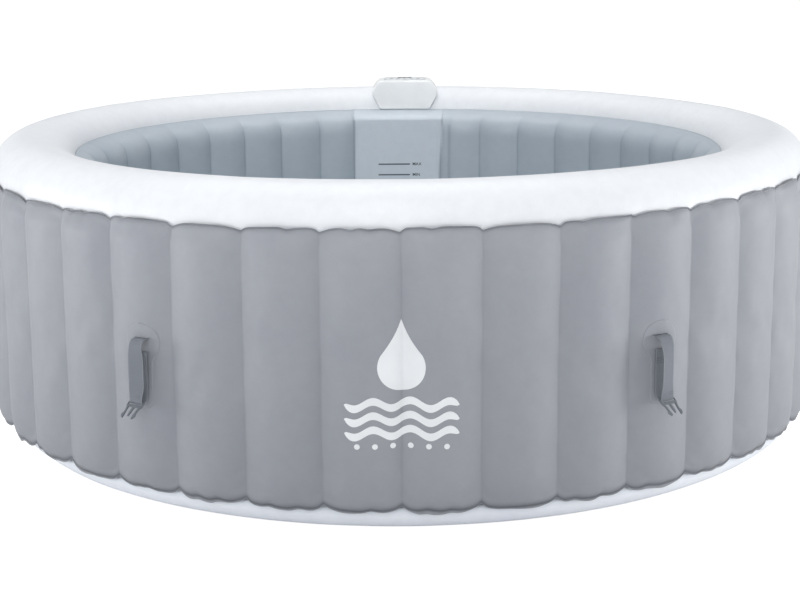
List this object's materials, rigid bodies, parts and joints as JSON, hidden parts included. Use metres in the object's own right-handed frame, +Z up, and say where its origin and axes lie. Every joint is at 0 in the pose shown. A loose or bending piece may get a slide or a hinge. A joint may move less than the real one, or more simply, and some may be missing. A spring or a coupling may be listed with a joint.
{
  "type": "inflatable hot tub",
  "caption": "Round inflatable hot tub with a ribbed wall, white rim and base, rear control console over a built-in heater and pump box, filter, and lift straps with lid buckles.",
  "frame": {"origin": "centre of the base on the ground", "axes": "+Z up, front with the emblem and two lift straps facing -Y, control console and equipment box at +Y"},
  "size_m": [2.1482, 2.1359, 0.7263],
  "materials": {
    "rim_pvc": "smooth white reinforced vinyl sheet, soft sheen",
    "wall_pvc": "grained bluish grey laminated vinyl sheet",
    "liner_pvc": "pale blue grey vinyl liner",
    "web_fabric": "coated polyester mesh",
    "webbing": "grey woven webbing",
    "buckle_plastic": "grey acetal",
    "abs_white": "white moulded plastic",
    "abs_grey": "grey moulded plastic",
    "panel_dark": "dark glossy display panel",
    "button_grey": "light grey plastic",
    "rubber_black": "black rubber",
    "steel": "stainless steel",
    "hose_grey": "flexible grey hose",
    "filter_paper": "pleated filter paper",
    "board_green": "green circuit board"
  },
  "bodies": {
    "tub": {"top_rim": "rim_pvc", "outer_wall": "wall_pvc", "inner_wall": "liner_pvc", "base_sheet": "rim_pvc", "pool_floor": "liner_pvc", "tension_web": "web_fabric", "bubble_tube": "abs_white", "level_panel": "liner_pvc", "pump_pocket": "wall_pvc", "equipment_housing": "abs_grey", "equipment_cover": "abs_white", "console_shell": "abs_white", "controller_body": "abs_grey", "controller_face": "panel_dark", "controller_cable": "rubber_black", "filter_base": "abs_white", "return_nozzle": "abs_white", "suction_pipe": "hose_grey", "pump_body": "abs_grey", "heater_tube": "steel", "pump_to_heater_hose": "hose_grey", "heater_return_hose": "hose_grey", "blower_body": "abs_grey", "air_hose": "hose_grey", "circuit_board": "board_green", "power_cord": "rubber_black", "rcd_plug": "abs_grey", "air_valve_body": "abs_white", "drain_valve_body": "abs_white", "handle_patch_1": "wall_pvc", "handle_patch_2": "wall_pvc", "handle_patch_3": "wall_pvc", "handle_patch_4": "wall_pvc", "handle_patch_5": "wall_pvc", "handle_patch_6": "wall_pvc"},
    "handle_1": {"handle_strap_1": "webbing"},
    "lid_buckle_1": {"lid_buckle_1": "buckle_plastic"},
    "handle_2": {"handle_strap_2": "webbing"},
    "lid_buckle_2": {"lid_buckle_2": "buckle_plastic"},
    "handle_3": {"handle_strap_3": "webbing"},
    "lid_buckle_3": {"lid_buckle_3": "buckle_plastic"},
    "handle_4": {"handle_strap_4": "webbing"},
    "lid_buckle_4": {"lid_buckle_4": "buckle_plastic"},
    "handle_5": {"handle_strap_5": "webbing"},
    "lid_buckle_5": {"lid_buckle_5": "buckle_plastic"},
    "handle_6": {"handle_strap_6": "webbing"},
    "lid_buckle_6": {"lid_buckle_6": "buckle_plastic"},
    "button_bubbles": {"button_bubbles": "button_grey"},
    "button_filter": {"button_filter": "button_grey"},
    "button_heater": {"button_heater": "button_grey"},
    "button_temp_down": {"button_temp_down": "button_grey"},
    "button_temp_up": {"button_temp_up": "button_grey"},
    "filter_cap": {"filter_cap": "abs_white"},
    "filter_cartridge": {"filter_cartridge": "filter_paper"},
    "pump_impeller": {"pump_impeller": "abs_white"},
    "blower_fan": {"blower_fan": "abs_white"},
    "rcd_reset_button": {"rcd_reset_button": "button_grey"},
    "air_valve_cap": {"air_valve_cap": "abs_white"},
    "drain_valve_cap": {"drain_valve_cap": "abs_grey"},
    "drain_plug": {"drain_plug": "rubber_black"}
  },
  "joints": [
    {"name": "handle_1_swing", "type": "hinge", "parent": "tub", "child": "handle_1", "pos_m": [-0.52208, -0.87928, 0.3763], "axis": [-0.8599, 0.5105, 0], "range_deg": [0, 100]},
    {"name": "lid_buckle_1_swing", "type": "hinge", "parent": "handle_1", "child": "lid_buckle_1", "pos_m": [-0.5304, -0.8933, 0.2495], "axis": [-0.8599, 0.5105, 0], "range_deg": [-50, 55]},
    {"name": "handle_2_swing", "type": "hinge", "parent": "tub", "child": "handle_2", "pos_m": [0.52208, -0.87928, 0.3763], "axis": [-0.8599, -0.5105, 0], "range_deg": [0, 100]},
    {"name": "lid_buckle_2_swing", "type": "hinge", "parent": "handle_2", "child": "lid_buckle_2", "pos_m": [0.5304, -0.8933, 0.2495], "axis": [-0.8599, -0.5105, 0], "range_deg": [-50, 55]},
    {"name": "handle_3_swing", "type": "hinge", "parent": "tub", "child": "handle_3", "pos_m": [1.02047, 0.06599, 0.3763], "axis": [0.0645, -0.9979, 0], "range_deg": [0, 100]},
    {"name": "lid_buckle_3_swing", "type": "hinge", "parent": "handle_3", "child": "lid_buckle_3", "pos_m": [1.03673, 0.06704, 0.2495], "axis": [0.0645, -0.9979, 0], "range_deg": [-50, 55]},
    {"name": "handle_4_swing", "type": "hinge", "parent": "tub", "child": "handle_4", "pos_m": [0.54643, 0.86436, 0.3763], "axis": [0.8453, -0.5344, 0], "range_deg": [0, 100]},
    {"name": "lid_buckle_4_swing", "type": "hinge", "parent": "handle_4", "child": "lid_buckle_4", "pos_m": [0.55514, 0.87814, 0.2495], "axis": [0.8453, -0.5344, 0], "range_deg": [-50, 55]},
    {"name": "handle_5_swing", "type": "hinge", "parent": "tub", "child": "handle_5", "pos_m": [-0.54643, 0.86436, 0.3763], "axis": [0.8453, 0.5344, 0], "range_deg": [0, 100]},
    {"name": "lid_buckle_5_swing", "type": "hinge", "parent": "handle_5", "child": "lid_buckle_5", "pos_m": [-0.55514, 0.87814, 0.2495], "axis": [0.8453, 0.5344, 0], "range_deg": [-50, 55]},
    {"name": "handle_6_swing", "type": "hinge", "parent": "tub", "child": "handle_6", "pos_m": [-1.02047, 0.06599, 0.3763], "axis": [0.0645, 0.9979, 0], "range_deg": [0, 100]},
    {"name": "lid_buckle_6_swing", "type": "hinge", "parent": "handle_6", "child": "lid_buckle_6", "pos_m": [-1.03673, 0.06704, 0.2495], "axis": [0.0645, 0.9979, 0], "range_deg": [-50, 55]},
    {"name": "button_bubbles_press", "type": "slide", "parent": "tub", "child": "button_bubbles", "axis": [0, 0, -1], "range_m": [0, 0.001], "stiffness_N_per_m": 400},
    {"name": "button_filter_press", "type": "slide", "parent": "tub", "child": "button_filter", "axis": [0, 0, -1], "range_m": [0, 0.001], "stiffness_N_per_m": 400},
    {"name": "button_heater_press", "type": "slide", "parent": "tub", "child": "button_heater", "axis": [0, 0, -1], "range_m": [0, 0.001], "stiffness_N_per_m": 400},
    {"name": "button_temp_down_press", "type": "slide", "parent": "tub", "child": "button_temp_down", "axis": [0, 0, -1], "range_m": [0, 0.001], "stiffness_N_per_m": 400},
    {"name": "button_temp_up_press", "type": "slide", "parent": "tub", "child": "button_temp_up", "axis": [0, 0, -1], "range_m": [0, 0.001], "stiffness_N_per_m": 400},
    {"name": "filter_cap_pull", "type": "slide", "parent": "tub", "child": "filter_cap", "axis": [0, -1, 0], "range_m": [0, 0.15]},
    {"name": "filter_cartridge_pull", "type": "slide", "parent": "tub", "child": "filter_cartridge", "axis": [0, -1, 0], "range_m": [0, 0.12]},
    {"name": "pump_impeller_spin", "type": "hinge", "parent": "tub", "child": "pump_impeller", "pos_m": [0, 0.8625, 0.16], "axis": [0, -1, 0], "continuous": true},
    {"name": "blower_fan_spin", "type": "hinge", "parent": "tub", "child": "blower_fan", "pos_m": [-0.068, 0.894, 0.52], "axis": [0, -1, 0], "continuous": true},
    {"name": "rcd_reset_press", "type": "slide", "parent": "tub", "child": "rcd_reset_button", "axis": [0, 0, -1], "range_m": [0, 0.002], "stiffness_N_per_m": 400},
    {"name": "air_valve_cap_flip", "type": "hinge", "parent": "tub", "child": "air_valve_cap", "pos_m": [0.2415, 1.00592, 0.521], "axis": [0.9724, -0.2334, 0], "range_deg": [0, 130]},
    {"name": "drain_valve_cap_off", "type": "slide", "parent": "tub", "child": "drain_valve_cap", "axis": [-0.2334, 0.9724, 0], "range_m": [0, 0.04]},
    {"name": "drain_plug_lift", "type": "slide", "parent": "tub", "child": "drain_plug", "axis": [0, 0, 1], "range_m": [0, 0.05]}
  ],
  "couplings": [
    {"joint": "filter_cartridge_pull", "follows": "filter_cap_pull", "ratio": 0.8}
  ]
}
